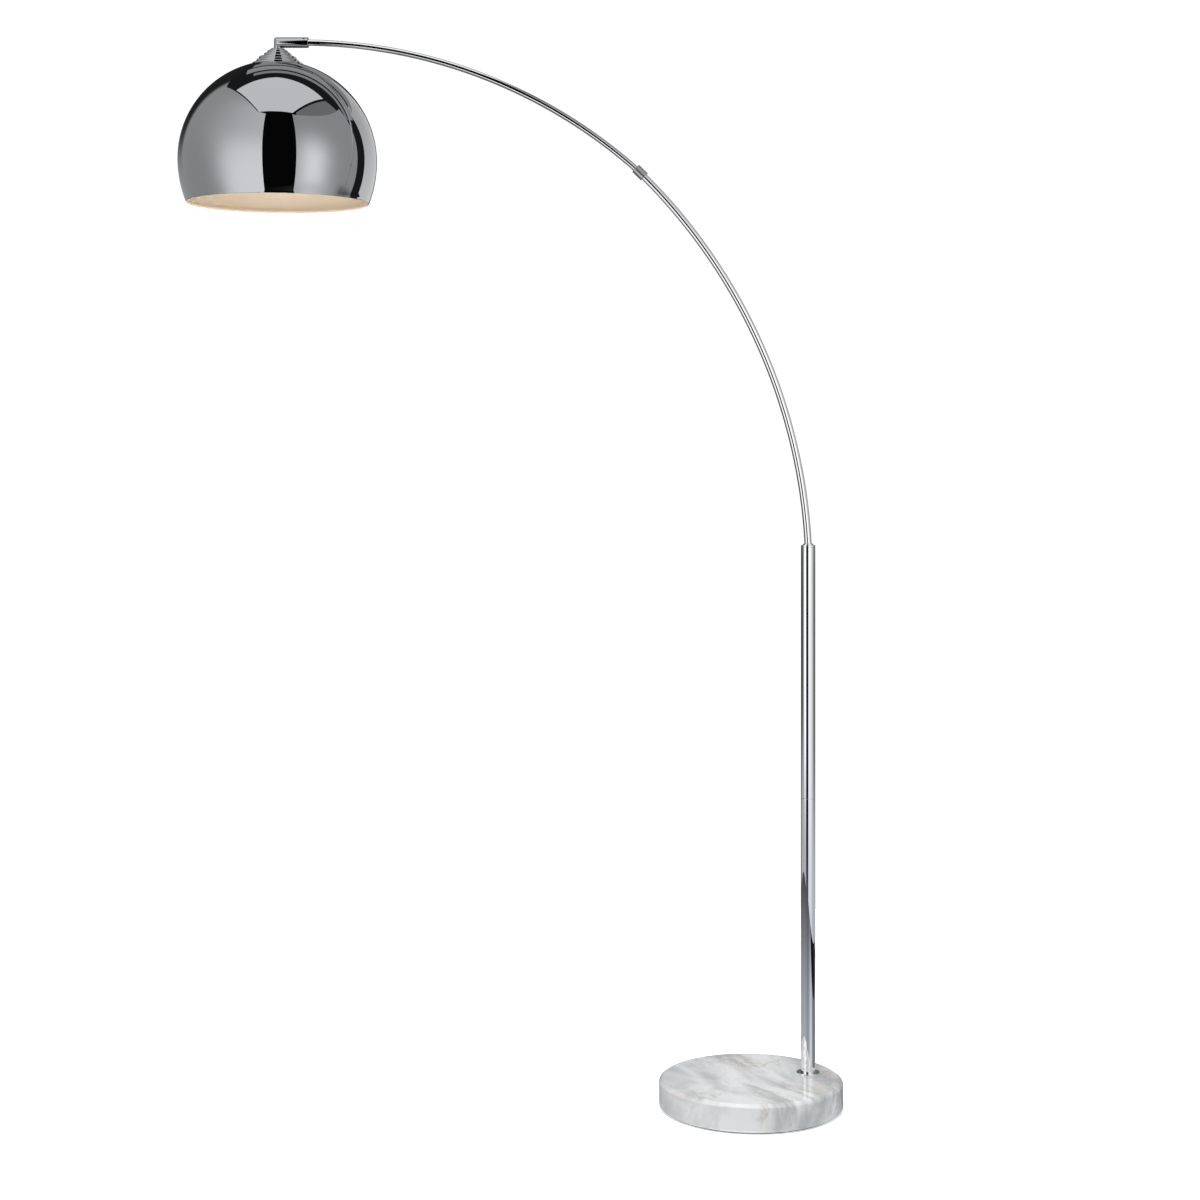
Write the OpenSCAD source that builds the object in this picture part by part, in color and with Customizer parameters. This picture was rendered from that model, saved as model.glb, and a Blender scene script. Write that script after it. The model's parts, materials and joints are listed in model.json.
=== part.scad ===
// Arc floor lamp: a round marble base, a pole in two lengths, a bent arm that turns in the
// top of the pole, and a mirror-bright dome shade hung from the arm's tip.
// Millimetres, +Z up. The origin is the middle of the base's underside, on the floor, and
// the arm reaches towards -X.

/* [Base] */
// Diameter of the marble disc
base_d = 292; // [270:1:340]
// Height of the base with its felt
base_h = 45; // [42:1:60]
// Width of the bevel round the top edge
bevel_w = 6; // [3:0.5:9]
// Height of the bevel round the top edge
bevel_h = 4.5; // [2:0.5:7]
// Thickness of the felt under the stone
felt_t = 2; // [1:0.5:4]
// Distance from the middle of the base to the pole
pole_offset = 97; // [40:1:105]
// Bearing of the pole from the middle of the base, in degrees
pole_bearing = 15.5; // [-90:0.5:90]

/* [Pole] */
// Outside diameter of the two pole tubes
pole_d = 23; // [22:0.5:26]
// Wall of the pole tubes
pole_wall = 1.5; // [1:0.1:2]
// Height of the seam between the two tubes
pole_seam = 485; // [350:5:650]
// Height of the pole with its cap
pole_h = 890; // [800:5:1000]
// Height of the cord's way in, at the back
cord_z = 95; // [90:1:150]

/* [Arm] */
// Outside diameter of the lower arm tube
arm_lower_d = 11.6; // [11:0.1:12]
// Bend radius of the lower arm tube
arm_lower_r = 899; // [850:1:950]
// Sweep of the lower arm tube, in degrees
arm_lower_sweep = 45.6; // [44:0.1:47]
// Outside diameter of the upper arm tube
arm_upper_d = 10; // [9:0.1:10.6]
// Bend radius of the upper arm tube
arm_upper_r = 806; // [780:1:830]
// Change of direction where the two arm tubes meet, in degrees
arm_kink = 2.3; // [1:0.1:3]
// Wall of the arm tubes
arm_wall = 1.1; // [0.8:0.1:1.4]

/* [Shade] */
// Radius of the dome
shade_r = 157.8; // [150:0.2:165]
// Depth of the rim below the widest part
skirt_h = 68.6; // [60:0.2:75]
// Radius of the rim
rim_r = 144.8; // [140:0.2:148]
// Drop from the arm's tip to the middle of the dome
shade_drop = 188.6; // [187:0.2:189]
// Thickness of the dome's sheet
shade_t = 0.6; // [0.5:0.1:1.2]
// Length of the elbow from its mouth to the shade's axis
elbow_reach = 48.8; // [44:0.1:55]
// Diameter of the elbow
elbow_d = 16.8; // [16.4:0.1:18]

/* [Bulb] */
// Radius of the bulb's globe
globe_r = 30; // [28:0.5:32]
// Length of the bulb from its tip to the bottom of the globe
bulb_len = 105; // [100:1:112]

/* [Hidden] */
$fn = 96;

// Clearances, radial: a push fit within one body, a turning fit, and free air
push_fit = 0.05;
turning_fit = 0.08;
air = 0.3;
// How far a cutter runs past the face that it opens
over = 1;

// Points that several pieces share are kept to whole hundredths, so that the pieces meet
function hundredths(v) = round(v * 100) / 100;

// Pole
pole_x = hundredths(pole_offset * cos(pole_bearing));
pole_y = hundredths(pole_offset * sin(pole_bearing));
pole_bore_d = pole_d - 2 * pole_wall;
insert_d = pole_bore_d - 2 * push_fit;
cap_h = 3.8;
upper_pole_top = pole_h - cap_h;
seam_bevel = 0.4;

// Bolt through the stone, in a pocket under it
pocket_d = 46;
pocket_h = 22;
bolt_hole_d = 13;
bolt_d = 10;
bolt_across_flats = 17;
bolt_head_h = 6.4;
bolt_len = 50;
washer_t = 3;
lock_washer_t = 2.5;
bolt_head_top = pocket_h - washer_t - lock_washer_t;
foot_bevel = 3;

// Swivel: the spigot carries the arm and turns in two bushes
bush_wall = 1.7;
spigot_d = insert_d - 2 * bush_wall;
spigot_top = pole_h + 2.2;
arm_z0 = pole_h - 46.5;
arm_seat_offset = 1.2;
socket_floor = arm_z0 - 46.5;
spigot_foot = socket_floor - 7;
neck_d = 13;
neck_len = 15;
neck_bore_d = 9;
shelf_t = 10;
ring_t = 1.2;
ring_z = spigot_foot - shelf_t - 0.3 - ring_t;
ring_groove_d = 11;
pin_d = 3;
pin_z = spigot_foot + 3.5;
swing = 90;
slot_half = swing + (pin_d / 2 + air) / (spigot_d / 2) * 180 / PI;

// Arm: two arcs in the X-Z plane that meet in the ferrule
arm_x0 = pole_x + arm_seat_offset;
lower_cx = arm_x0 - arm_lower_r;
joint_x = hundredths(lower_cx + arm_lower_r * cos(arm_lower_sweep));
joint_z = hundredths(arm_z0 + arm_lower_r * sin(arm_lower_sweep));
upper_start = arm_lower_sweep + arm_kink;
upper_cx = hundredths(joint_x - arm_upper_r * cos(upper_start));
upper_cz = hundredths(joint_z - arm_upper_r * sin(upper_start));
tip_z = upper_cz + arm_upper_r;
ferrule_d = 16;
ferrule_len = 20;
ferrule_web = 1;
flex_d = 5;

// Elbow at the arm's tip
elbow_lap = 9.5;
elbow_mouth = upper_cx + elbow_lap;
shade_x = elbow_mouth - elbow_reach;
elbow_end = shade_x - 6.2;
elbow_bevel = 3.9;
socket_depth = 30;
tube_end_x = elbow_mouth - socket_depth + 1;
leg_d = 12.4;
leg_foot_d = 11.4;
leg_drop = 9.6;
flex_bend_r = 6;
grub_d = 4;
grub_inset = 6.7;

// Shade and its stepped cap: each tier's radius and the depth of its top below the cap's top
dome_z = tip_z - shade_drop;
skirt_r = (pow(skirt_h, 2) + pow(shade_r - rim_r, 2)) / (2 * (shade_r - rim_r));
hem_h = 4;
hem_t = 1.2;
cap_tiers = [[12.1, 0], [16.6, 3], [21.8, 7.4], [30, 13.4], [34.2, 18.2], [40.8, 23.2]];
cap_depth = 28;
cap_t = 0.8;
cap_round = 1.6;
cap_top = tip_z - 10;
nipple_d = 10;
nipple_bore_d = 7;
nut_h = 4;
nut_across_flats = 14;
clamp_washer_r = 14;
clamp_washer_t = 1.5;
dome_apex = dome_z + shade_r;
clamp_inner_z = dome_z + sqrt(pow(shade_r - shade_t, 2) - pow(clamp_washer_r, 2));
clamp_z = hundredths(clamp_inner_z - push_fit);

// Lampholder and bulb: heights are measured down from the lampholder's top
holder_z = clamp_z - clamp_washer_t - nut_h - air;
holder_r = 20;
shell_r = 13.9;
shell_bore_r = 13.3;
core_r = 16.4;
core_top = 21;
core_h = 12;
shell_len = 23;
terminal_x = 9;
bulb_tip_z = core_top + core_h + 2.2;
bulb_cap_z = bulb_tip_z + 3;
bulb_cap_len = 22;
bulb_cap_r = 12.5;
thread_pitch = 3.6;
globe_z = bulb_tip_z + bulb_len - globe_r;
globe_cut = 14;
globe_t = 1.2;
globe_neck_r = sqrt(pow(globe_r, 2) - pow(globe_cut, 2));

module at_pole(z = 0) {
  translate([pole_x, pole_y, z]) children();
}

module at_shade(z = 0) {
  translate([shade_x, pole_y, z]) children();
}

// A straight ring standing on z = 0
module ring(outer_d, inner_d, h) {
  difference() {
    cylinder(d = outer_d, h = h);
    translate([0, 0, -over]) cylinder(d = inner_d, h = h + 2 * over);
  }
}

// A hexagon bar standing on z = 0
module hexagon(across_flats, h) {
  cylinder(d = across_flats / cos(30), h = h, $fn = 6);
}

// A tube standing on z = 0, bevelled outside at its foot and at its top
module bevelled_tube(outer_d, inner_d, h, foot = 0, top = 0) {
  ro = outer_d / 2;
  ri = inner_d / 2;
  rotate_extrude()
    polygon([
      [ri, 0], [ro - foot, 0], [ro, foot], [ro, h - top], [ro - top, h], [ri, h]
    ]);
}

// A rod or, with a bore, a tube bent in the X-Z plane about the origin. It starts at the
// angle `from`, measured from +X towards +Z, and turns through `sweep` in either direction.
module bent_tube(bend_r, from, sweep, outer_d, inner_d = 0) {
  side = sign(sweep);
  rotate([90 * side, 0, 0])
    rotate([0, 0, from * side])
      rotate_extrude(angle = abs(sweep))
        translate([bend_r, 0])
          difference() {
            circle(d = outer_d);
            if (inner_d > 0) circle(d = inner_d);
          }
}

// Stands +Z along the arm at the ferrule, turned to a given sweep
module along_arm(sweep) {
  translate([joint_x, pole_y, joint_z]) rotate([0, -sweep, 0]) children();
}

// Turns +Z away from the pole's axis, to the back
module to_back() {
  rotate([-90, 0, 0]) children();
}

// Turns +Z along the arm's tip, towards -X
module along_tip(x) {
  translate([x, pole_y, tip_z]) rotate([0, -90, 0]) children();
}

// A headless screw from radius r0 out to r1, with a hexagon key's socket in its outer end
module grub_screw(r0, r1) {
  difference() {
    translate([0, 0, r0]) cylinder(d = grub_d - 2 * push_fit, h = r1 - r0);
    translate([0, 0, r1 - 1.6]) hexagon(2, 1.6 + over);
  }
}

// ---- Base ----

module base_felt() {
  color("dimgray")
    difference() {
      cylinder(d = base_d - 4 * foot_bevel, h = felt_t);
      at_pole(-over) cylinder(d = pocket_d, h = felt_t + 2 * over);
    }
}

module stone_outline() {
  r = base_d / 2;
  polygon([
    [0, felt_t], [r - foot_bevel, felt_t], [r, felt_t + foot_bevel],
    [r, base_h - bevel_h], [r - bevel_w, base_h], [0, base_h]
  ]);
}

module marble_base() {
  color("whitesmoke")
    difference() {
      rotate_extrude() stone_outline();
      at_pole(-over) cylinder(d = pocket_d, h = pocket_h + over);
      at_pole() cylinder(d = bolt_hole_d, h = base_h + over);
    }
}

module base_bolt() {
  color("silver")
    at_pole(bolt_head_top) {
      translate([0, 0, -bolt_head_h]) hexagon(bolt_across_flats, bolt_head_h);
      translate([0, 0, -over]) cylinder(d = bolt_d, h = bolt_len + over);
    }
}

module base_lock_washer() {
  color("silver") at_pole(bolt_head_top) ring(18, bolt_d + 0.5, lock_washer_t);
}

module base_washer() {
  color("silver") at_pole(pocket_h - washer_t) ring(40, bolt_d + 0.8, washer_t);
}

// ---- Pole ----

module pole_foot_plug() {
  color("silver") at_pole(base_h) ring(insert_d, bolt_d + 2 * push_fit, 25);
}

module foot_collar() {
  color("gainsboro") at_pole(base_h) bevelled_tube(37.4, pole_d + 2 * push_fit, 3, 0, 0.8);
}

module lower_pole() {
  color("gainsboro")
    at_pole(base_h)
      difference() {
        bevelled_tube(pole_d, pole_bore_d, pole_seam - base_h, 0, seam_bevel);
        translate([0, 0, cord_z - base_h]) to_back() cylinder(d = 9, h = pole_d);
      }
}

// Snap-in bush: a neck in the wall's hole, a lip inside the tube and a head outside
module cord_bush() {
  head_r = pole_d / 2 + 2.5;
  color("black")
    at_pole(cord_z)
      difference() {
        union() {
          difference() {
            to_back() cylinder(d1 = 13.5, d2 = 11.5, h = head_r);
            cylinder(d = pole_d + 2 * push_fit, h = 20, center = true);
          }
          intersection() {
            to_back() cylinder(d = 10.6, h = pole_d);
            cylinder(d = insert_d, h = 20, center = true);
          }
          to_back() cylinder(d = 9 - 2 * push_fit, h = head_r - 0.5);
        }
        to_back() cylinder(d = 6.2, h = head_r + over);
        translate([0, 7 - pole_d, 0]) cube(2 * pole_d, center = true);
      }
}

module pole_joiner() {
  color("silver") at_pole(pole_seam - 45) ring(insert_d, 15, 90);
}

module upper_pole() {
  color("gainsboro")
    at_pole(pole_seam)
      bevelled_tube(pole_d, pole_bore_d, upper_pole_top - pole_seam, seam_bevel, 0);
}

module pole_cap() {
  skirt = 6;
  color("gainsboro")
    at_pole(upper_pole_top)
      difference() {
        union() {
          bevelled_tube(pole_d, spigot_d + 2 * air, cap_h, seam_bevel, seam_bevel);
          translate([0, 0, -skirt]) ring(insert_d, spigot_d + 2 * air, skirt + over);
        }
        translate([0, 0, -skirt - over]) cylinder(d = spigot_d + 2 * air, h = 20);
      }
}

module swivel_bush_upper() {
  color("ivory")
    at_pole(upper_pole_top - 36) ring(insert_d, spigot_d + 2 * turning_fit, 29.5);
}

// The lower bush's shelf carries the arm, and its slot stops the arm's swing at each end
module swivel_bush_lower() {
  bush_h = 25;
  color("ivory")
    at_pole()
      difference() {
        translate([0, 0, spigot_foot - shelf_t]) cylinder(d = insert_d, h = shelf_t + bush_h);
        translate([0, 0, spigot_foot - turning_fit])
          cylinder(d = spigot_d + 2 * turning_fit, h = bush_h + over);
        translate([0, 0, spigot_foot - shelf_t - over])
          cylinder(d = neck_d + 2 * air, h = shelf_t + 2 * over);
        translate([0, 0, pin_z - pin_d / 2 - air])
          rotate([0, 0, 180 - slot_half])
            rotate_extrude(angle = 2 * slot_half)
              translate([spigot_d / 2 - over, 0]) square([pole_wall + 3, pin_d + 2 * air]);
      }
}

// The lead's fixed run in the pole: in at the back, a quarter turn, then up to the swivel
module pole_flex() {
  bend = pole_d / 2 - 4.6;
  top = spigot_foot - neck_len - 0.1;
  color("darkslategray")
    at_pole(cord_z) {
      translate([0, bend, bend])
        rotate([0, 0, 90]) bent_tube(bend, 180, 90, flex_d);
      translate([0, 0, bend]) cylinder(d = flex_d, h = top - cord_z - bend);
    }
}

// ---- Arm ----

module arm_spigot() {
  color("gainsboro")
    at_pole()
      difference() {
        union() {
          translate([0, 0, spigot_foot])
            bevelled_tube(spigot_d, neck_bore_d, spigot_top - spigot_foot, 0, 0.5);
          translate([0, 0, spigot_foot - neck_len]) ring(neck_d, neck_bore_d, neck_len + over);
        }
        translate([0, 0, arm_z0]) cylinder(d = 14.4, h = 100);
        translate([arm_seat_offset, 0, socket_floor])
          cylinder(d = arm_lower_d + 2 * push_fit, h = arm_z0 - socket_floor + over);
        translate([0, 0, ring_z - push_fit]) ring(20, ring_groove_d, ring_t + 2 * push_fit);
        translate([0, 0, pin_z]) rotate([0, -90, 0]) cylinder(d = pin_d, h = 20);
      }
}

module swivel_stop_pin() {
  color("silver")
    at_pole(pin_z)
      rotate([0, -90, 0])
        translate([0, 0, 5]) cylinder(d = pin_d - 2 * push_fit, h = insert_d / 2 - 5 - air);
}

module retaining_ring() {
  color("silver")
    at_pole(ring_z)
      difference() {
        ring(17, ring_groove_d + 2 * push_fit, ring_t);
        translate([0, -2.5, -over]) cube([20, 5, ring_t + 2 * over]);
      }
}

module arm_lower() {
  bore = arm_lower_d - 2 * arm_wall;
  gap_deg = ferrule_web / 2 / arm_lower_r * 180 / PI;
  color("gainsboro") {
    translate([lower_cx, pole_y, arm_z0])
      bent_tube(arm_lower_r, 0, arm_lower_sweep - gap_deg, arm_lower_d, bore);
    translate([arm_x0, pole_y, socket_floor + push_fit])
      ring(arm_lower_d, bore, arm_z0 - socket_floor - push_fit);
  }
}

// Turned coupling: a socket for each tube, a thin web between, and the screw's hole
module arm_ferrule() {
  half = ferrule_len / 2;
  color("darkgray")
    difference() {
      along_arm(arm_lower_sweep)
        translate([0, 0, -half])
          bevelled_tube(ferrule_d, flex_d + 2, ferrule_len, 0.6, 0.6);
      along_arm(arm_lower_sweep)
        translate([0, 0, -half - over])
          cylinder(d = arm_lower_d + 4 * push_fit, h = half + over - ferrule_web / 2);
      along_arm(upper_start)
        translate([0, 0, ferrule_web / 2])
          cylinder(d = arm_upper_d + 4 * push_fit, h = half + over);
      along_arm(upper_start)
        translate([0, 0, half / 2 + 0.5]) to_back() cylinder(d = grub_d, h = ferrule_d);
    }
}

module ferrule_screw() {
  color("dimgray")
    along_arm(upper_start)
      translate([0, 0, ferrule_len / 4 + 0.5])
        to_back() grub_screw(arm_upper_d / 2 + 2 * push_fit, ferrule_d / 2 - 0.3);
}

module arm_upper() {
  bore = arm_upper_d - 2 * arm_wall;
  gap_deg = ferrule_web / 2 / arm_upper_r * 180 / PI;
  color("gainsboro") {
    translate([upper_cx, pole_y, upper_cz])
      bent_tube(arm_upper_r, 90, upper_start + gap_deg - 90, arm_upper_d, bore);
    along_tip(upper_cx) ring(arm_upper_d, bore, upper_cx - tube_end_x);
  }
}

// The lead's run in the arm, from the swivel to the elbow: one piece that follows both bends,
// with a slight bulge where it changes direction in the ferrule
module arm_flex() {
  foot = spigot_foot - neck_len;
  bulge_deg = 0.035;
  color("darkslategray") {
    translate([arm_x0, pole_y, foot]) cylinder(d = flex_d, h = arm_z0 - foot);
    translate([lower_cx, pole_y, arm_z0])
      bent_tube(arm_lower_r, 0, arm_lower_sweep - bulge_deg, flex_d);
    along_arm(upper_start) sphere(d = flex_d + 0.2);
    translate([upper_cx, pole_y, upper_cz])
      bent_tube(arm_upper_r, 90, upper_start + bulge_deg - 90, flex_d);
    along_tip(upper_cx) cylinder(d = flex_d, h = upper_cx - tube_end_x);
  }
}

// ---- Elbow ----

// The lead's route through the elbow: along the tip, round the corner, then down the leg
module elbow_route(d, leg_h) {
  corner = shade_x + flex_bend_r;
  along_tip(tube_end_x - 0.1) cylinder(d = d, h = tube_end_x - 0.1 - corner);
  translate([corner, pole_y, tip_z - flex_bend_r])
    bent_tube(flex_bend_r, 90, 90, d);
  at_shade(tip_z - flex_bend_r - leg_h) cylinder(d = d, h = leg_h);
}

module elbow_blank() {
  nose_r = elbow_d / 2;
  along_tip(elbow_mouth)
    bevelled_tube(elbow_d, 3, elbow_mouth - elbow_end - nose_r, 0.4, 0);
  intersection() {
    along_tip(elbow_end + nose_r + over) cylinder(d = elbow_d, h = nose_r + over);
    translate([elbow_end + nose_r, pole_y, tip_z - elbow_d])
      cylinder(r = nose_r, h = 2 * elbow_d);
  }
  at_shade(tip_z - leg_drop) cylinder(d1 = leg_foot_d, d2 = leg_d, h = leg_drop);
}

module elbow() {
  color("silver")
    difference() {
      elbow_blank();
      translate([elbow_end, pole_y, tip_z + elbow_d / 2])
        rotate([0, 45, 0])
          cube([elbow_bevel * sqrt(2), 2 * elbow_d, elbow_bevel * sqrt(2)], center = true);
      along_tip(elbow_mouth + over)
        cylinder(d = arm_upper_d + 2 * turning_fit, h = socket_depth + over);
      elbow_route(flex_d + 1, 1);
      at_shade(tip_z - leg_drop - over)
        cylinder(d = nipple_d, h = leg_drop - flex_bend_r + over + 0.6);
      along_tip(elbow_mouth - grub_inset)
        rotate([0, 0, 45]) to_back() translate([0, 0, -elbow_d]) cylinder(d = grub_d, h = elbow_d);
    }
}

module elbow_screw() {
  color("dimgray")
    along_tip(elbow_mouth - grub_inset)
      rotate([0, 0, 45])
        to_back()
          mirror([0, 0, 1]) grub_screw(arm_upper_d / 2 + air, elbow_d / 2 - 0.4);
}

// ---- Shade ----

module nipple() {
  top = tip_z - flex_bend_r + 0.4;
  foot = holder_z - 6;
  color("goldenrod") at_shade(foot) ring(nipple_d - 2 * push_fit, nipple_bore_d, top - foot);
}

// The cap's outline, drawn in by a given amount: nested tiers with rounded shoulders
module cap_outline(inset = 0) {
  for (tier = cap_tiers) {
    r = tier[0] - inset;
    h = cap_depth - tier[1] - inset;
    shoulder = cap_round - inset;
    square([r, h - shoulder]);
    square([r - shoulder, h]);
    translate([r - shoulder, h - shoulder]) circle(r = shoulder);
  }
}

module shade_cap() {
  color("gainsboro")
    at_shade()
      difference() {
        translate([0, 0, cap_top - cap_depth])
          rotate_extrude()
            difference() {
              cap_outline();
              translate([0, -over]) square([nipple_d / 2 + push_fit, cap_depth + 2 * over]);
              translate([0, -push_fit]) cap_outline(cap_t);
            }
        translate([0, 0, dome_z]) sphere(r = shade_r + push_fit);
      }
}

module cap_spacer() {
  color("silver")
    at_shade(dome_apex + push_fit)
      ring(15, nipple_d + 2 * push_fit, cap_top - cap_t - dome_apex - 2 * push_fit - 0.1);
}

// Half of the dome's section, drawn in by a given amount: a quarter circle above the widest
// part and a flatter arc below it
module dome_section(inset = 0) {
  intersection() {
    circle(r = shade_r - inset);
    square(2 * shade_r);
  }
  intersection() {
    translate([shade_r - skirt_r, 0]) circle(r = skirt_r - inset);
    translate([0, -skirt_h]) square([2 * shade_r, skirt_h]);
  }
}

module shade() {
  color("gray")
    at_shade(dome_z)
      rotate_extrude()
        difference() {
          dome_section();
          difference() {
            dome_section(shade_t);
            translate([rim_r - hem_t, -skirt_h]) square([2 * hem_t, hem_h]);
          }
          square([nipple_d / 2 + push_fit, 2 * shade_r]);
        }
}

module nipple_washer() {
  color("silver")
    at_shade(clamp_z - clamp_washer_t)
      ring(2 * clamp_washer_r, nipple_d + 2 * push_fit, clamp_washer_t);
}

module nipple_nut() {
  color("silver")
    at_shade(clamp_z - clamp_washer_t - nut_h)
      difference() {
        hexagon(nut_across_flats, nut_h);
        translate([0, 0, -over]) cylinder(d = nipple_d + 2 * push_fit, h = nut_h + 2 * over);
      }
}

// ---- Lampholder ----

module lampholder_cap() {
  bore = nipple_d / 2 + push_fit;
  color("black")
    at_shade(holder_z)
      rotate_extrude()
        polygon([
          [bore, 0], [8, 0], [8, -6], [14, -8.5], [18.5, -14], [holder_r, -20],
          [holder_r, -28], [18.2, -28], [18.2, -20], [16.9, -15], [13, -10.3], [bore, -8]
        ]);
}

module lampholder_body() {
  bore = core_r + push_fit;
  color("black")
    at_shade(holder_z)
      rotate_extrude()
        polygon([
          [bore, -20.5], [18.1, -20.5], [18.1, -28.1], [holder_r, -28.1],
          [holder_r, -50], [19, -57], [bore, -57]
        ]);
}

// Ceramic insert, drilled for the two terminals and the contact's rivet
module lampholder_core() {
  color("white")
    at_shade(holder_z - core_top - core_h)
      difference() {
        cylinder(r = core_r, h = core_h);
        for (x = [-terminal_x, terminal_x])
          translate([x, 0, core_h - 8]) cylinder(d = 3.1, h = 8 + over);
        translate([0, 0, -over]) cylinder(d = 3.1, h = core_h + 2 * over);
      }
}

module screw_shell() {
  color("gold")
    at_shade(holder_z - core_top - core_h - shell_len) {
      ring(2 * shell_r, 2 * shell_bore_r, shell_len);
      translate([0, 0, shell_len - 0.6]) ring(2 * shell_r + 3, 2 * shell_bore_r, 0.6);
    }
}

module centre_contact() {
  color("gold")
    at_shade(holder_z - core_top - core_h) {
      translate([-5, -2, -0.5]) cube([10, 4, 0.5]);
      translate([0, 0, -0.5]) cylinder(d = 3, h = core_h);
    }
}

module terminal_screws() {
  color("gold")
    at_shade(holder_z - core_top)
      for (x = [-terminal_x, terminal_x])
        translate([x, 0, 0])
          difference() {
            union() {
              cylinder(d = 5.5, h = 2);
              translate([0, 0, -7]) cylinder(d = 3, h = 8);
            }
            translate([-3, -0.4, 1.2]) cube([6, 0.8, 1]);
          }
}

module head_flex() {
  color("darkslategray")
    elbow_route(flex_d, tip_z - flex_bend_r - (holder_z - core_top + 1.5));
}

// ---- Bulb ----

module bulb_tip() {
  color("silver")
    at_shade(holder_z - bulb_tip_z)
      rotate_extrude() polygon([[0, 0], [3.6, 0], [4.6, -1], [9.5, -3], [0, -3]]);
}

// Edison cap: a thin can with rounded thread crests
module bulb_cap() {
  color("silver")
    at_shade(holder_z - bulb_cap_z)
      rotate_extrude()
        difference() {
          union() {
            translate([0, -bulb_cap_len]) square([bulb_cap_r, bulb_cap_len]);
            for (turn = [1 : 5])
              translate([bulb_cap_r - 0.4, -turn * thread_pitch]) circle(r = 1);
          }
          translate([-over, -bulb_cap_len - over])
            square([bulb_cap_r - 1 + over, bulb_cap_len + over - 0.6]);
        }
}

module bulb_housing() {
  neck = bulb_cap_r - 1 - push_fit;
  top = -bulb_cap_z - bulb_cap_len;
  foot = globe_cut - globe_z;
  color("white")
    at_shade(holder_z)
      rotate_extrude()
        polygon([
          [0, top + 4], [neck, top + 4], [neck, top], [bulb_cap_r + 0.6, top],
          [bulb_cap_r + 1, top - 3], [globe_neck_r - 3, foot + 5], [globe_neck_r, foot],
          [globe_neck_r - 3, foot], [bulb_cap_r - 2, top - 4], [0, top - 4]
        ]);
}

module bulb_globe() {
  color("ivory")
    at_shade(holder_z - globe_z)
      rotate_extrude()
        difference() {
          intersection() {
            circle(r = globe_r);
            translate([0, -2 * globe_r]) square([2 * globe_r, 2 * globe_r + globe_cut]);
          }
          circle(r = globe_r - globe_t);
        }
}

base_felt();
marble_base();
base_bolt();
base_lock_washer();
base_washer();
pole_foot_plug();
foot_collar();
lower_pole();
cord_bush();
pole_joiner();
upper_pole();
pole_cap();
swivel_bush_upper();
swivel_bush_lower();
pole_flex();
arm_spigot();
swivel_stop_pin();
retaining_ring();
arm_lower();
arm_ferrule();
ferrule_screw();
arm_upper();
arm_flex();
elbow();
elbow_screw();
nipple();
shade_cap();
cap_spacer();
shade();
nipple_washer();
nipple_nut();
lampholder_cap();
lampholder_body();
lampholder_core();
screw_shell();
centre_contact();
terminal_screws();
head_flex();
bulb_tip();
bulb_cap();
bulb_housing();
bulb_globe();
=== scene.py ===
"""Looks of the arc floor lamp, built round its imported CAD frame.

Metres, +Z up, in the CAD's own frame: the base stands on z = 0 and the arm reaches towards -X.
Outlines are lists of (radius, height) points, and a bearing is an angle about +Z from -Y, the
front, towards +X.
"""
import json
import math

import bmesh
import bpy
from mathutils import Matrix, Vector


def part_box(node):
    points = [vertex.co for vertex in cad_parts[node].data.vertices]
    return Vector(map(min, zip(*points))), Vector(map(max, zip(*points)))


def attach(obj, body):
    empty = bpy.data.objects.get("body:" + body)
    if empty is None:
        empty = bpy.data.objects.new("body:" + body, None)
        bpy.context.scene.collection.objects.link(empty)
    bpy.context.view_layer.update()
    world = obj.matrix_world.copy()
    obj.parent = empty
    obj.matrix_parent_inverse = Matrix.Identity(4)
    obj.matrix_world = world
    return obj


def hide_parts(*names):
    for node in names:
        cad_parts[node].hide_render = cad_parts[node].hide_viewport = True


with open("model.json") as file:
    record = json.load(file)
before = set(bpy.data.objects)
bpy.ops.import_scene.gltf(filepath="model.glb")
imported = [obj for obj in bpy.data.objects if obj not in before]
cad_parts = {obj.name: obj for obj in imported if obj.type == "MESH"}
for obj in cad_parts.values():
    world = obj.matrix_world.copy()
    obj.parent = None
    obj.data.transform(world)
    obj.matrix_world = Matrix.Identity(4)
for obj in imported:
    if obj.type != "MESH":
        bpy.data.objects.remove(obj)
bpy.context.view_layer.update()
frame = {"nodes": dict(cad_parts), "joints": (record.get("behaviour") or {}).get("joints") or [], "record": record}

MM = 0.001
TURN = 2 * math.pi


# ---- Places taken from the frame ----

def joint_point(name):
    return Vector(next(j for j in frame["joints"] if j["name"] == name)["pos_m"])


def middle(node):
    low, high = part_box(node)
    return (low + high) / 2


def bottom(node):
    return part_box(node)[0].z


def top(node):
    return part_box(node)[1].z


def radius(node):
    low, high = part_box(node)
    return (high.x - low.x) / 2


swivel = joint_point("arm_swivel")
mouth = joint_point("shade_roll")
POLE = (swivel.x, swivel.y)
SHADE = (middle("shade").x, swivel.y)
BASE = (middle("marble_base").x, middle("marble_base").y)


# ---- Camera ----

CAMERA_LENS = 64.95
CAMERA_SHIFT = -0.125
CAMERA_HEIGHT = 1.042
CAMERA_DISTANCE = 3.464
CAMERA_LEFT_OF_POLE = 0.333


def set_camera():
    camera = bpy.data.cameras.new("camera")
    camera.lens = CAMERA_LENS
    camera.shift_y = CAMERA_SHIFT
    holder = bpy.data.objects.new("camera", camera)
    holder.location = (POLE[0] - CAMERA_LEFT_OF_POLE, POLE[1] - CAMERA_DISTANCE, CAMERA_HEIGHT)
    holder.rotation_euler = (math.pi / 2, 0, 0)
    bpy.context.scene.collection.objects.link(holder)
    bpy.context.scene.camera = holder


# ---- Outlines ----

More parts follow.
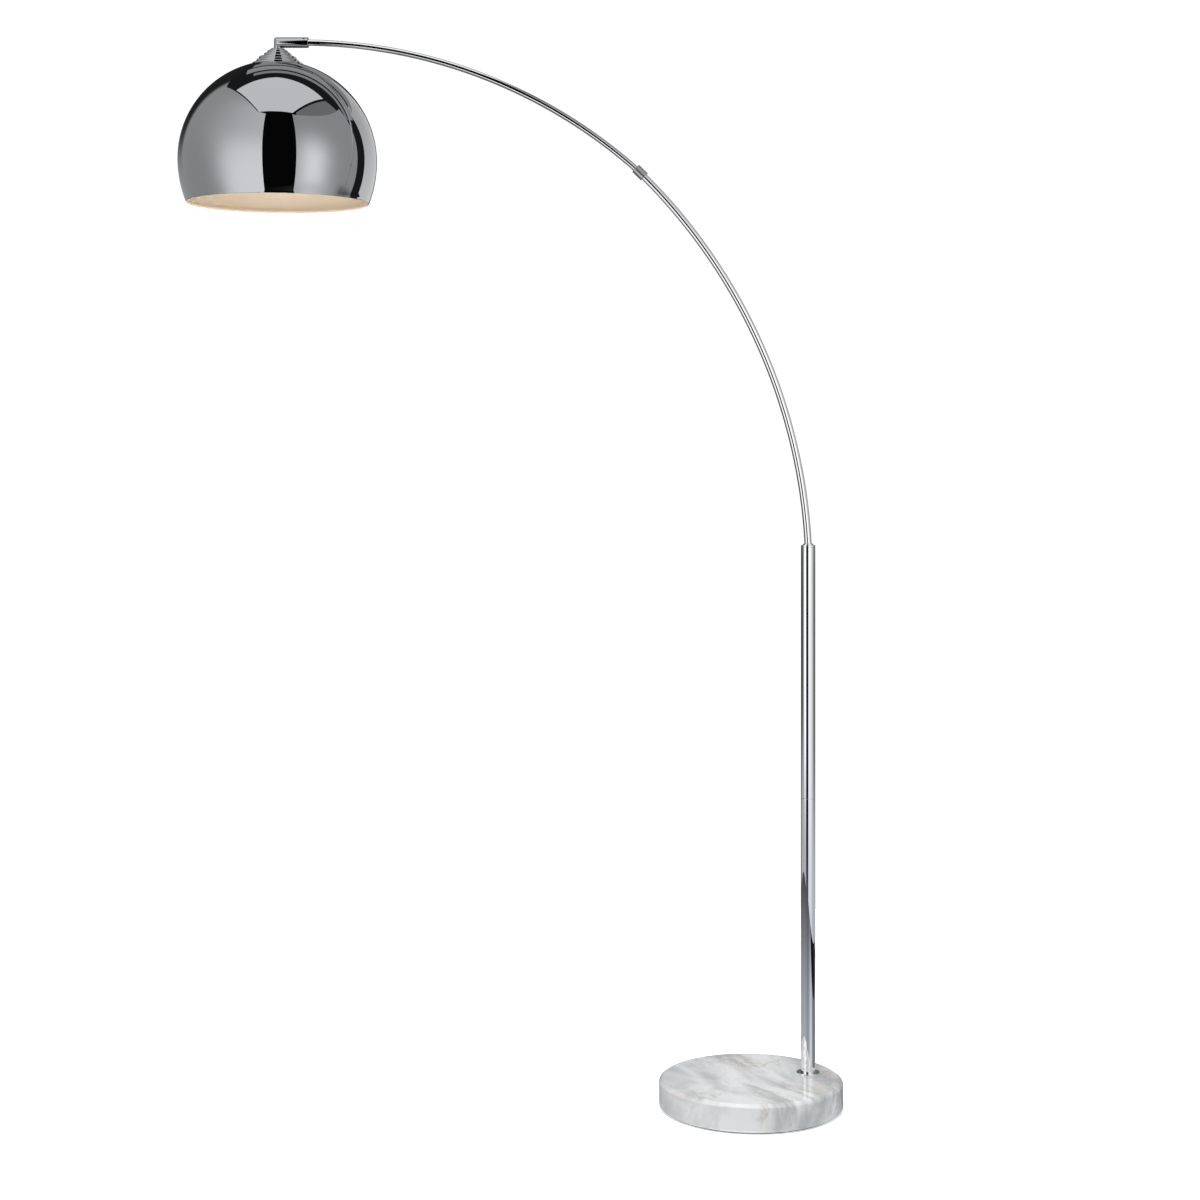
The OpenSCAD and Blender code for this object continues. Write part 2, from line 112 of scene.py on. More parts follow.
def arc(centre, r, start, end, steps):
    """Points along an arc, from one angle to another in degrees."""
    angles = [math.radians(start + (end - start) * i / steps) for i in range(steps + 1)]
    return [(centre[0] + r * math.cos(a), centre[1] + r * math.sin(a)) for a in angles]


def rounded(points, fillet, steps=5):
    """A closed outline with its corners rounded. A third value in a point is its own radius.
    A point is added a little way off each rounding, to hold the long sides' shading straight."""
    outline = []
    for i, point in enumerate(points):
        r = point[2] if len(point) > 2 else fillet
        corner = Vector(point[:2])
        before = Vector(points[i - 1][:2]) - corner
        after = Vector(points[(i + 1) % len(points)][:2]) - corner
        half = before.angle(after) / 2
        r = min(r, min(before.length, after.length) * 0.45 * math.tan(half))
        if r < 1e-6 or half > math.radians(89):
            outline.append(tuple(corner))
            continue
        back, ahead, cut_off = before.normalized(), after.normalized(), r / math.tan(half)
        centre = corner + (back + ahead).normalized() * r / math.sin(half)
        first, last = corner + back * cut_off - centre, corner + ahead * cut_off - centre
        span = first.angle(last)
        if before.length > 2.5 * (cut_off + r):
            outline.append(tuple(corner + back * (cut_off + r)))
        for k in range(steps + 1):
            a = math.sin(span * (1 - k / steps)) / math.sin(span)
            b = math.sin(span * k / steps) / math.sin(span)
            outline.append(tuple(centre + first * a + last * b))
        if after.length > 2.5 * (cut_off + r):
            outline.append(tuple(corner + ahead * (cut_off + r)))
    return outline


# ---- Meshes ----

def piece(name, verts, faces, materials, body, ids=None, sharp=35):
    """A mesh object that rides on a body, smooth but for edges sharper than the given angle."""
    mesh = bpy.data.meshes.new(name)
    mesh.from_pydata(verts, [], faces)
    for material in materials:
        mesh.materials.append(material)
    if ids:
        mesh.polygons.foreach_set("material_index", ids)
    work = bmesh.new()
    work.from_mesh(mesh)
    bmesh.ops.remove_doubles(work, verts=work.verts, dist=1e-7)
    bmesh.ops.recalc_face_normals(work, faces=work.faces)
    work.to_mesh(mesh)
    work.free()
    smooth(mesh, sharp)
    holder = bpy.data.objects.new(name, mesh)
    bpy.context.scene.collection.objects.link(holder)
    if body:
        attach(holder, body)
    return holder


def smooth(mesh, sharp=35):
    mesh.polygons.foreach_set("use_smooth", [True] * len(mesh.polygons))
    mesh.set_sharp_from_angle(angle=math.radians(sharp))


def lathe(name, outline, axis, materials, body, ids=None, segments=128, sharp=35):
    """Turns a closed outline about a vertical axis. The outline is a list of points, or a
    function that gives the list at each angle. ids gives each stretch of it a material."""
    profile = outline if callable(outline) else lambda angle: outline
    verts = []
    for i in range(segments):
        angle = TURN * i / segments
        across = (math.cos(angle), math.sin(angle))
        points = profile(angle)
        verts += [(axis[0] + r * across[0], axis[1] + r * across[1], z) for r, z in points]
    count = len(points)
    faces = []
    for i in range(segments):
        here, there = i * count, (i + 1) % segments * count
        for k in range(count):
            n = (k + 1) % count
            faces.append((here + k, there + k, there + n, here + n))
    return piece(name, verts, faces, materials, body, list(ids) * segments if ids else None, sharp)


def pipe(name, stations, outer, inner, materials, body, segments=64):
    """A tube in the arm's plane. Each station is a point (x, z) and the angle, in radians from
    +X towards +Z, of the tube's outward side there."""
    verts = []
    for r in (outer, inner):
        path = stations if r == outer else stations[::-1]
        for x, z, lean in path:
            for i in range(segments):
                across = r * math.cos(TURN * i / segments)
                side = r * math.sin(TURN * i / segments)
                verts.append((x + across * math.cos(lean), POLE[1] + side, z + across * math.sin(lean)))
    rings = 2 * len(stations)
    faces = []
    for ring in range(rings):
        here, there = ring * segments, (ring + 1) % rings * segments
        for i in range(segments):
            n = (i + 1) % segments
            faces.append((here + i, here + n, there + n, there + i))
    return piece(name, verts, faces, materials, body)


def cut(target, cutter):
    """Takes the cutter's shape out of the target, then removes the cutter."""
    modifier = target.modifiers.new("cut", "BOOLEAN")
    modifier.object = cutter
    modifier.solver = "EXACT"
    graph = bpy.context.evaluated_depsgraph_get()
    mesh = bpy.data.meshes.new_from_object(target.evaluated_get(graph))
    target.modifiers.remove(modifier)
    target.data = mesh
    smooth(mesh)
    bpy.data.objects.remove(cutter)


def plug(axis, r, low, high):
    """An upright cutter."""
    return lathe("cutter", [(0, low), (r, low), (r, high), (0, high)], axis, [], None, segments=96)


# ---- Materials ----

class Surface:
    """A material on one Principled shader, with a short call for each kind of node."""

    def __init__(self, name, color, roughness, metallic=0.0, **sockets):
        self.material = bpy.data.materials.new(name)
        self.material.use_nodes = True
        self.tree = self.material.node_tree
        self.shader = self.tree.nodes["Principled BSDF"]
        self.place = self.tree.nodes.new("ShaderNodeTexCoord").outputs["Object"]
        self.put("Base Color", (*color, 1) if isinstance(color, tuple) else color)
        self.put("Roughness", roughness)
        self.put("Metallic", metallic)
        for socket, value in sockets.items():
            self.put(socket.replace("_", " "), value)

    def put(self, socket, value):
        if isinstance(value, bpy.types.NodeSocket):
            self.tree.links.new(value, self.shader.inputs[socket])
        else:
            self.shader.inputs[socket].default_value = value

    def add(self, kind, inputs, **settings):
        node = self.tree.nodes.new(kind)
        for key, value in settings.items():
            setattr(node, key, value)
        for key, value in inputs.items():
            if isinstance(value, bpy.types.NodeSocket):
                self.tree.links.new(value, node.inputs[key])
            else:
                node.inputs[key].default_value = value
        return node

    def stretched(self, scale, turn=(0, 0, 0)):
        """The object's coordinates, scaled along axes that are turned from its own."""
        settings = {"Vector": self.place, "Scale": [1 / v for v in scale],
                    "Rotation": [math.radians(a) for a in turn]}
        return self.add("ShaderNodeMapping", settings, vector_type="TEXTURE").outputs[0]

    def noise(self, scale, detail=4, rough=0.5, distortion=0, place=None):
        settings = {"Vector": place or self.place, "Scale": scale, "Detail": detail,
                    "Roughness": rough, "Distortion": distortion}
        return self.add("ShaderNodeTexNoise", settings).outputs[0]

    def levels(self, value, low, high, to_low=0.0, to_high=1.0):
        """The value, from one range to another, held at the ends."""
        settings = {"Value": value, "From Min": low, "From Max": high, "To Min": to_low, "To Max": to_high}
        return self.add("ShaderNodeMapRange", settings).outputs[0]

    def math(self, operation, a, b=0.0):
        return self.add("ShaderNodeMath", {0: a, 1: b}, operation=operation).outputs[0]

    def blend(self, factor, a, b):
        """Colour a where the factor is 0 and b where it is 1."""
        colors = [(*c, 1) if isinstance(c, tuple) else c for c in (a, b)]
        return self.add("ShaderNodeMix", {0: factor, 6: colors[0], 7: colors[1]}, data_type="RGBA").outputs[2]

    def relief(self, height, depth, strength=1.0):
        """Bump of a given depth in metres."""
        settings = {"Height": height, "Distance": depth, "Strength": strength}
        self.put("Normal", self.add("ShaderNodeBump", settings).outputs[0])
        return self


def chrome(name, color, smear=0.03, wave_depth=0.003 * MM):
    """Mirror plating: faint smears in the gloss and a slow ripple from polishing."""
    s = Surface(name, color, 0.02, 1.0)
    smears = s.noise(22, 2, 0.5, 0.4)
    hairlines = s.noise(900, 2, 0.5, 0, s.stretched((1, 1, 0.04)))
    gloss = s.math("ADD", s.levels(smears, 0.45, 0.75, 0.012, smear),
                   s.levels(hairlines, 0.6, 0.9, 0, 0.004))
    s.put("Roughness", gloss)
    ripple = s.noise(34, 1, 0.4)
    return s.relief(ripple, wave_depth).material


def brushed(name, color, rough, grain=(1, 1, 30), depth=0.01 * MM):
    """Turned or plated metal with a fine grain along one direction."""
    s = Surface(name, color, rough, 1.0)
    lines = s.noise(260, 5, 0.7, 0, s.stretched(grain))
    cloud = s.noise(45, 4, 0.6)
    s.put("Roughness", s.math("ADD", s.levels(lines, 0.3, 0.7, rough * 0.7, rough * 1.2),
                              s.levels(cloud, 0.4, 0.8, 0, 0.08)))
    tint = tuple(c * 0.78 for c in color)
    s.put("Base Color", s.blend(s.levels(cloud, 0.35, 0.75), color, tint))
    return s.relief(lines, depth).material


def moulded(name, color, rough, depth=0.02 * MM, **sockets):
    """Moulded plastic or ceramic: a fine texture and a slight change of tone."""
    s = Surface(name, color, rough, 0.0, **sockets)
    fine = s.noise(1400, 3, 0.6)
    cloud = s.noise(60, 4, 0.55)
    s.put("Roughness", s.levels(cloud, 0.3, 0.7, rough * 0.85, min(1.0, rough * 1.2)))
    tint = tuple(c * 0.9 for c in color)
    s.put("Base Color", s.blend(s.levels(cloud, 0.35, 0.7), color, tint))
    return s.relief(fine, depth).material


def marble():
    """Polished white marble: soft grey clouds and streaks, beige stains and a few ochre veins."""
    s = Surface("polished_marble", (0.8, 0.8, 0.8), 0.1, IOR=1.52)
    slanted = s.stretched((1.0, 0.38, 0.5), (0, 0, 28))
    clouds = s.levels(s.noise(15, 7, 0.6, 0.7, slanted), 0.42, 0.66)
    ground = s.blend(clouds, (0.74, 0.75, 0.755), (0.44, 0.45, 0.46))
    ridge = s.math("ABSOLUTE", s.math("SUBTRACT", s.noise(9, 6, 0.6, 0.9, slanted), 0.5))
    streak = s.math("MULTIPLY", s.levels(ridge, 0.0, 0.05, 1, 0), s.levels(s.noise(8, 3, 0.5), 0.45, 0.6))
    ground = s.blend(s.math("MULTIPLY", streak, 0.6), ground, (0.33, 0.34, 0.35))
    beige = s.levels(s.noise(14, 5, 0.6, 0.4), 0.56, 0.74, 0, 0.5)
    ground = s.blend(beige, ground, (0.70, 0.62, 0.52))
    upright = s.stretched((1, 1, 0.35))
    crack = s.math("ABSOLUTE", s.math("SUBTRACT", s.noise(22, 6, 0.65, 1.2, upright), 0.5))
    vein = s.math("MULTIPLY", s.levels(crack, 0.0, 0.022, 1, 0), s.levels(s.noise(17, 3, 0.5), 0.54, 0.64))
    ground = s.blend(s.math("MULTIPLY", vein, 0.6), ground, (0.34, 0.26, 0.19))
    grain = s.noise(240, 4, 0.7)
    ground = s.blend(s.levels(grain, 0.35, 0.7, 0, 0.14), ground, (0.52, 0.53, 0.55))
    s.put("Base Color", ground)
    s.put("Roughness", s.levels(s.noise(30, 4), 0.3, 0.7, 0.07, 0.15))
    return s.relief(grain, 0.01 * MM).material


def paint():
    """Lacquer inside the shade, with a faint orange peel. Its warm cream colour is painted warm light."""
    # The cream base colour and its two tones are painted warm light on the lacquer.
    s = Surface("lacquer_painted_warm_light", (0.91, 0.82, 0.70), 0.38)
    peel = s.noise(420, 2, 0.5)
    cloud = s.noise(9, 3, 0.5)
    s.put("Base Color", s.blend(s.levels(cloud, 0.3, 0.7), (0.925, 0.835, 0.715), (0.895, 0.795, 0.67)))
    s.put("Roughness", s.levels(cloud, 0.3, 0.7, 0.34, 0.44))
    return s.relief(peel, 0.02 * MM).material


def felt():
    s = Surface("pressed_felt", (0.05, 0.05, 0.055), 0.95, Sheen_Weight=0.4, Sheen_Roughness=0.6)
    fibres = s.noise(1100, 6, 0.8, 1.5)
    s.put("Base Color", s.blend(s.levels(fibres, 0.3, 0.7), (0.035, 0.035, 0.04), (0.10, 0.10, 0.105)))
    return s.relief(fibres, 0.3 * MM).material


def opal():
    """The bulb's frosted globe."""
    s = Surface("opal_glass", (0.93, 0.91, 0.85), 0.35, Subsurface_Weight=0.25, Subsurface_Scale=0.01)
    frost = s.noise(700, 3, 0.6)
    s.put("Roughness", s.levels(frost, 0.3, 0.7, 0.28, 0.42))
    return s.relief(frost, 0.008 * MM).material


def threaded_brass():
    """Brass with the ridges of a fine lamp thread."""
    s = Surface("threaded_brass", (0.70, 0.52, 0.24), 0.25, 1.0)
    ridges = s.add("ShaderNodeTexWave", {"Vector": s.place, "Scale": 320, "Distortion": 0.0},
                   bands_direction="Z").outputs[1]
    cloud = s.noise(80, 4, 0.6)
    s.put("Roughness", s.levels(cloud, 0.3, 0.7, 0.18, 0.36))
    return s.relief(ridges, 0.25 * MM).material


MATERIALS = {
    "marble": marble(),
    "felt": felt(),
    "zinc_steel": brushed("zinc_plated_steel", (0.55, 0.57, 0.60), 0.32),
    "chrome_tube": chrome("bright_chrome", (0.93, 0.935, 0.945)),
    "satin_nickel": brushed("satin_nickel", (0.62, 0.62, 0.60), 0.30),
    "dark_screw": brushed("blackened_steel", (0.06, 0.06, 0.065), 0.40),
    "mirror_shade": chrome("dark_mirror", (0.485, 0.495, 0.51), 0.035),
    "brass": brushed("plain_brass", (0.72, 0.54, 0.25), 0.28, (1, 1, 8)),
    "nylon": moulded("natural_nylon", (0.78, 0.76, 0.68), 0.45),
    "black_plastic": moulded("black_plastic", (0.018, 0.018, 0.019), 0.42),
    "ceramic": moulded("unglazed_ceramic", (0.80, 0.78, 0.73), 0.70, 0.05 * MM),
    "flex_sheath": moulded("flex_sheath", (0.03, 0.03, 0.032), 0.55),
    "bulb_metal": brushed("bulb_can", (0.78, 0.78, 0.77), 0.22, (1, 1, 12)),
    "bulb_white": moulded("white_plastic", (0.86, 0.86, 0.84), 0.35),
    "bulb_opal": opal(),
}
PAINT = paint()
OWN_FINISH = {"nipple": threaded_brass(), "elbow": chrome("dark_elbow", (0.53, 0.54, 0.55))}


def dress_cad_nodes():
    """Gives every carried node its slot's material, or its own finish where OWN_FINISH names one."""
    slots = {part["node"]: part["material_slot"] for part in frame["record"]["subparts"]}
    for name, node in frame["nodes"].items():
        material = OWN_FINISH.get(name, MATERIALS[slots[name]])
        for slot in node.material_slots:
            slot.material = material


# ---- Base ----

POCKET_R = 23 * MM
POCKET_TOP = 22 * MM
BOLT_HOLE_R = 6.5 * MM
BEVEL_W = 6 * MM
BEVEL_H = 4.5 * MM
FOOT_BEVEL = 3 * MM


def build_stone():
    r, low, high = radius("marble_base"), bottom("marble_base"), top("marble_base")
    outline = rounded([
        (0, low, 0), (r - FOOT_BEVEL, low), (r, low + FOOT_BEVEL), (r, high - BEVEL_H),
        (r - BEVEL_W, high), (0, high, 0),
    ], 3 * MM, 6)
    stone = lathe("marble_disc", outline, BASE, [MATERIALS["marble"]], "stand", segments=288)
    cut(stone, plug(POLE, POCKET_R, low - 5 * MM, POCKET_TOP))
    cut(stone, plug(POLE, BOLT_HOLE_R, low, high + 5 * MM))
    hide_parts("marble_base")


def build_felt():
    r, high = radius("base_felt"), top("base_felt")
    outline = rounded([(0, 0, 0), (r, 0), (r, high), (0, high, 0)], 0.6 * MM, 3)
    pad = lathe("felt_pad", outline, BASE, [MATERIALS["felt"]], "stand", segments=192)
    cut(pad, plug(POLE, POCKET_R, -5 * MM, 5 * MM))
    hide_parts("base_felt")


def hexagon_r(across_flats, angle):
    """The radius of a hexagon bar at an angle, with a corner at angle 0."""
    return across_flats / 2 / math.cos((angle % (TURN / 6)) - TURN / 12)


def thread(height, angle, pitch):
    """From 0 in the groove to 1 on the crest of a right-hand thread."""
    return 0.5 - 0.5 * math.cos(TURN * (height / pitch - angle / TURN))


def threaded_side(low, high, minor, major, pitch, angle, steps, rounding=1.0):
    """Points up the side of a threaded bar, whose thread fades out at both ends."""
    points = []
    for i in range(steps + 1):
        z = low + (high - low) * i / steps
        fade = min(1.0, (z - low) / pitch, (high - z) / pitch)
        points.append((minor + (major - minor) * fade * thread(z, angle, pitch) ** rounding, z))
    return points


def build_bolt():
    low, high = bottom("base_bolt"), top("base_bolt")
    flats, head_h, shank_r, chamfer = 17 * MM, 6.4 * MM, 5 * MM, 1.2 * MM
    shoulder = low + head_h

    def outline(angle):
        corner = hexagon_r(flats, angle)
        crown = flats / 2 * 0.96
        drop = (corner - crown) * 0.55
        points = [(0, low), (crown - chamfer, low), (crown, low + 0.1 * MM), (corner, low + 0.1 * MM + drop)]
        points += [(corner, shoulder), (shank_r, shoulder)]
        points += threaded_side(shoulder + 1 * MM, high - 1 * MM, 4.3 * MM, shank_r, 1.5 * MM, angle, 150)
        return points + [(3.9 * MM, high), (0, high)]

    bolt = lathe("pole_bolt", outline, POLE, [MATERIALS["zinc_steel"]], "stand", segments=96)
    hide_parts("base_bolt")


# ---- Pole ----

POLE_WALL = 1.5 * MM
SEAM_BEVEL = 0.45 * MM
CORD_HOLE_R = 4.5 * MM
COLLAR_R = 18.7 * MM


def tube_outline(outer, inner, low, high, foot, head, between=()):
    """A straight tube's outline with its outer edges rounded and extra rings where asked."""
    points = [(inner, low, 0.1 * MM), (outer, low, foot)]
    points += [(outer, z, 0) for z in between]
    return rounded(points + [(outer, high, head), (inner, high, 0.1 * MM)], 0, 4)


def build_pole():
    r = radius("lower_pole")
    finish = [MATERIALS["chrome_tube"]]
    hole_z = middle("cord_bush").z
    rings = (hole_z - 12 * MM, hole_z + 12 * MM)
    low, high = bottom("lower_pole"), top("lower_pole")
    outline = tube_outline(r, r - POLE_WALL, low, high, 0.1 * MM, SEAM_BEVEL, rings)
    lower = lathe("pole_lower", outline, POLE, finish, "stand")
    cutter = plug((0, 0), CORD_HOLE_R, 0, 2 * r)
    cutter.rotation_euler = (-math.pi / 2, 0, 0)
    cutter.location = (*POLE, hole_z)
    bpy.context.view_layer.update()
    cut(lower, cutter)
    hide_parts("lower_pole")

    low, high = bottom("upper_pole"), top("upper_pole")
    outline = tube_outline(r, r - POLE_WALL, low, high, SEAM_BEVEL, 0.1 * MM)
    upper = lathe("pole_upper", outline, POLE, finish, "stand")
    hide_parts("upper_pole")


def build_collar():
    low, high = bottom("foot_collar"), top("foot_collar")
    bore = radius("lower_pole") + 0.05 * MM
    points = [(bore, low, 0), (COLLAR_R, low, 0.3 * MM), (COLLAR_R, high), (bore, high, 0.3 * MM)]
    collar = lathe("pole_collar", rounded(points, 1.1 * MM, 6), POLE, [MATERIALS["chrome_tube"]],
                   "stand")
    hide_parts("foot_collar")


def build_pole_cap():
    r, low, high = radius("pole_cap"), bottom("pole_cap"), top("pole_cap")
    bore, skirt_r, seat = 8.5 * MM, r - POLE_WALL - 0.05 * MM, high - 3.8 * MM
    points = [
        (bore, low, 0.2 * MM), (skirt_r, low, 0.3 * MM), (skirt_r, seat, 0), (r, seat, SEAM_BEVEL),
        (r, high, 0.6 * MM), (bore, high, 0.4 * MM),
    ]
    cap = lathe("pole_top_ring", rounded(points, 0), POLE, [MATERIALS["chrome_tube"]],
                "stand")
    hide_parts("pole_cap")


# ---- Arm ----

ARM_WALL = 1.1 * MM
ARM_SEAT_DEPTH = 46.5 * MM
LOWER_R = 5.8 * MM
LOWER_BEND = 899 * MM
LOWER_SWEEP = 45.6
UPPER_R = 5 * MM
UPPER_BEND = 806 * MM
UPPER_START = 47.9
ELBOW_LAP = 9.5 * MM
WEB = 0.5 * MM


def bend(centre, r, start, end, steps):
    """Stations along a bend, from one angle to another in degrees."""
    angles = [math.radians(start + (end - start) * i / steps) for i in range(steps + 1)]
    return [(centre[0] + r * math.cos(a), centre[1] + r * math.sin(a), a) for a in angles]


def build_arm():
    finish = [MATERIALS["chrome_tube"]]
    straight_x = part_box("arm_lower")[1].x - LOWER_R
    seat_z = swivel.z - ARM_SEAT_DEPTH
    short = math.degrees(WEB / LOWER_BEND)
    stations = [(straight_x, bottom("arm_lower"), 0.0)]
    stations += bend((straight_x - LOWER_BEND, seat_z), LOWER_BEND, 0, LOWER_SWEEP - short, 180)
    lower = pipe("arm_tube_lower", stations, LOWER_R, LOWER_R - ARM_WALL, finish, "arm")
    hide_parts("arm_lower")

    centre = (mouth.x - ELBOW_LAP, mouth.z - UPPER_BEND)
    short = math.degrees(WEB / UPPER_BEND)
    stations = bend(centre, UPPER_BEND, UPPER_START + short, 90, 180)
    stations.append((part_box("arm_upper")[0].x, mouth.z, math.pi / 2))
    upper = pipe("arm_tube_upper", stations, UPPER_R, UPPER_R - ARM_WALL, finish, "arm")
    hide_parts("arm_upper")


# ---- Shade ----

RIM_R = 144.8 * MM
SHEET = 0.6 * MM
HEM_T = 1.2 * MM
HEM_H = 4 * MM
NIPPLE_R = 5.05 * MM
CAP_H = 28 * MM
CAP_T = 0.8 * MM
CAP_ROUND = 1.6 * MM
CAP_TIERS = [(12.1, 0), (16.6, 3), (21.8, 7.4), (30, 13.4), (34.2, 18.2), (40.8, 23.2)]

dome_r = radius("shade")
dome_z = top("shade") - math.sqrt(dome_r ** 2 - NIPPLE_R ** 2)
skirt_h = dome_z - bottom("shade")
skirt_r = (skirt_h ** 2 + (dome_r - RIM_R) ** 2) / (2 * (dome_r - RIM_R))


def dome_line(inset, low, steps=56):
    """The dome's section from the hole at its top down to a height below its widest part."""
    r = dome_r - inset
    hole = math.degrees(math.acos(NIPPLE_R / r))
    foot = -math.degrees(math.asin(low / (skirt_r - inset)))
    upper = arc((0, dome_z), r, hole, 0, steps)
    lower = arc((dome_r - skirt_r, dome_z), skirt_r - inset, 0, foot, steps // 3)
    return upper + lower[1:]


def build_shade():
    rim_z = bottom("shade")
    hem_r = HEM_T / 2
    outer = dome_line(0, skirt_h - hem_r)
    edge_r = outer[-1][0] - hem_r
    bead = arc((edge_r, rim_z + hem_r), hem_r, 0, -180, 10)[1:]
    inner = dome_line(SHEET, skirt_h - HEM_H)[::-1]
    hem_top = [(bead[-1][0], rim_z + HEM_H - 0.3 * MM), (bead[-1][0] + 0.2 * MM, rim_z + HEM_H)]
    outline = outer + bead + hem_top + inner
    plated = len(outer) + len(bead) // 2
    ids = [0 if i < plated else 1 for i in range(len(outline))]
    ids[-1] = 0
    shade = lathe("dome_shade", outline, SHADE, [MATERIALS["mirror_shade"], PAINT], "head",
                  ids, 320)
    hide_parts("shade")


def cap_line(inset):
    """The stepped cap's outer line, or its inner one drawn in by an inset, from the top down."""
    base_z = top("shade_cap") - CAP_H
    shoulder = CAP_ROUND - inset
    dome_fit = dome_r + 0.05 * MM
    line = [(NIPPLE_R, base_z + CAP_H - inset)]
    for r, drop in CAP_TIERS:
        r, z = r * MM - inset, base_z + CAP_H - drop * MM - inset
        line.append((line[-1][0], z))
        line += arc((r - shoulder, z - shoulder), shoulder, 90, 0, 6)
    line.append((r, dome_z + math.sqrt(dome_fit ** 2 - r ** 2)))
    return line[2:]


def build_shade_cap():
    outer = [(NIPPLE_R, top("shade_cap"))] + cap_line(0)
    inner = [(NIPPLE_R, top("shade_cap") - CAP_T)] + cap_line(CAP_T)
    cap = lathe("stepped_cap", outer + inner[::-1], SHADE, [MATERIALS["mirror_shade"]], "head",
                segments=224, sharp=50)
    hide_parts("shade_cap")


def build_nut():
    low, high = bottom("nipple_nut"), top("nipple_nut")
    flats = 14 * MM

    def outline(angle):
        corner = hexagon_r(flats, angle)
        crown = flats / 2 * 0.97
        drop = (corner - crown) * 0.55
        return [(NIPPLE_R, low), (crown, low), (corner, low + drop), (corner, high - drop),
                (crown, high), (NIPPLE_R, high)]

    nut = lathe("shade_nut", outline, SHADE, [MATERIALS["zinc_steel"]], "head",
                segments=96, sharp=20)
    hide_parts("nipple_nut")


# ---- Lampholder ----

THREAD_PITCH = 3.6 * MM
HOLDER_R = 20 * MM
GRIP_RIBS = 36
GRIP_DEPTH = 0.45 * MM


def build_lampholder():
    finish = [MATERIALS["black_plastic"]]
    z = top("lampholder_cap")
    points = [
        (NIPPLE_R, 0, 0.3), (8, 0, 0.8), (8, -6, 1.5), (14, -8.5, 4), (18.5, -14, 3),
        (20, -20, 1.5), (20, -28, 0.4), (18.2, -28, 0), (18.2, -20, 0), (16.9, -15, 2), (13, -10.3, 2),
        (NIPPLE_R, -8, 0),
    ]
    scaled = [(r if r == NIPPLE_R else r * MM, z + h * MM, f * MM) for r, h, f in points]
    cap = lathe("holder_cap", rounded(scaled, 0), SHADE, finish, "head")
    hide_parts("lampholder_cap")

    low, high = bottom("lampholder_body"), top("lampholder_body")
    bore, collar_z = 16.45 * MM, z - 28.1 * MM
    grip_low, grip_high = collar_z - 19 * MM, collar_z - 3 * MM

    def outline(angle):
        groove = GRIP_DEPTH * (0.5 - 0.5 * math.cos(GRIP_RIBS * angle))
        points = [
            (bore, low, 0.3 * MM), (19 * MM, low, 0.8 * MM), (HOLDER_R, grip_low - 2.5 * MM, 0),
            (HOLDER_R, grip_low, 0), (HOLDER_R - groove, grip_low + 1 * MM, 0),
            (HOLDER_R - groove, grip_high - 1 * MM, 0), (HOLDER_R, grip_high, 0),
            (HOLDER_R, collar_z, 0.4 * MM), (18.1 * MM, collar_z, 0), (18.1 * MM, high, 0.2 * MM),
            (bore, high, 0.2 * MM),
        ]
        return rounded(points, 0, 3)

    body = lathe("holder_body", outline, SHADE, finish, "head", segments=8 * GRIP_RIBS)
    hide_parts("lampholder_body")


def build_screw_shell():
    low, high = bottom("screw_shell"), top("screw_shell")
    flange = high - 0.6 * MM

    def outline(angle):
        inside = threaded_side(low, flange, 13.3 * MM, 13.55 * MM, THREAD_PITCH, angle, 40)
        outside = [(r + 0.35 * MM, z) for r, z in reversed(inside)]
        return inside + [(13.3 * MM, high), (15.4 * MM, high), (15.4 * MM, flange)] + outside

    shell = lathe("threaded_shell", outline, SHADE, [MATERIALS["brass"]], "head", segments=96)
    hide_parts("screw_shell")


# ---- Bulb ----

def build_bulb_cap():
    low, high = bottom("bulb_cap"), top("bulb_cap")

    def outline(angle):
        side = threaded_side(low + 1.2 * MM, high - 2 * MM, 12.1 * MM, 13.05 * MM, THREAD_PITCH,
                             angle, 72, 0.8)
        inside = [(11.5 * MM, low), (11.5 * MM, high - 2.4 * MM), (9.3 * MM, high - 0.7 * MM),
                  (0, high - 0.7 * MM)]
        return [(12.1 * MM, low)] + side + [(9.5 * MM, high), (0, high)] + inside[::-1]

    can = lathe("bulb_thread", outline, SHADE, [MATERIALS["bulb_metal"]], "bulb", segments=128)
    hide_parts("bulb_cap")


def build_globe():
    r = radius("bulb_globe")
    low, high = bottom("bulb_globe"), top("bulb_globe")
    centre = (0, low + r)
    wall = 1.2 * MM
    lift = math.degrees(math.asin((high - centre[1]) / r))
    inner_lift = math.degrees(math.asin((high - centre[1]) / (r - wall)))
    outline = arc(centre, r, -90, lift, 48) + arc(centre, r - wall, inner_lift, -90, 48)
    globe = lathe("bulb_glass", outline, SHADE, [MATERIALS["bulb_opal"]], "bulb", segments=128)
    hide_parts("bulb_globe")


# ---- Studio ----
# The camera sees a white floor and a white world. Mirror surfaces see only the softboxes, which
# stand on a round wall about the lamp and hang over it, and the dark room round them.

STUDIO_CENTRE = (-0.36, 0.0)
STUDIO_R = 1.45
CEILING = 2.6
FLOOR_R = 1.6
ROOM_R = 7.0
FLOOR_GLOW = 0.42
FLOOR_FADE = 1.35
# Each streak on the floor: its gain, its bearing and its width.
FLOOR_STREAKS = ((0.9, 38, 14), (-0.55, 95, 26), (0.12, -75, 30), (-0.2, -12, 14))
FAN_LEVEL = 0.97
# Each strip of light behind the fan: its front, its back, its left end and its level.
CEILING_STRIPS = ((0.29, 0.41, -1.1, 0.36), (0.48, 0.78, -1.2, 0.42), (0.88, 2.1, -1.15, 0.34))


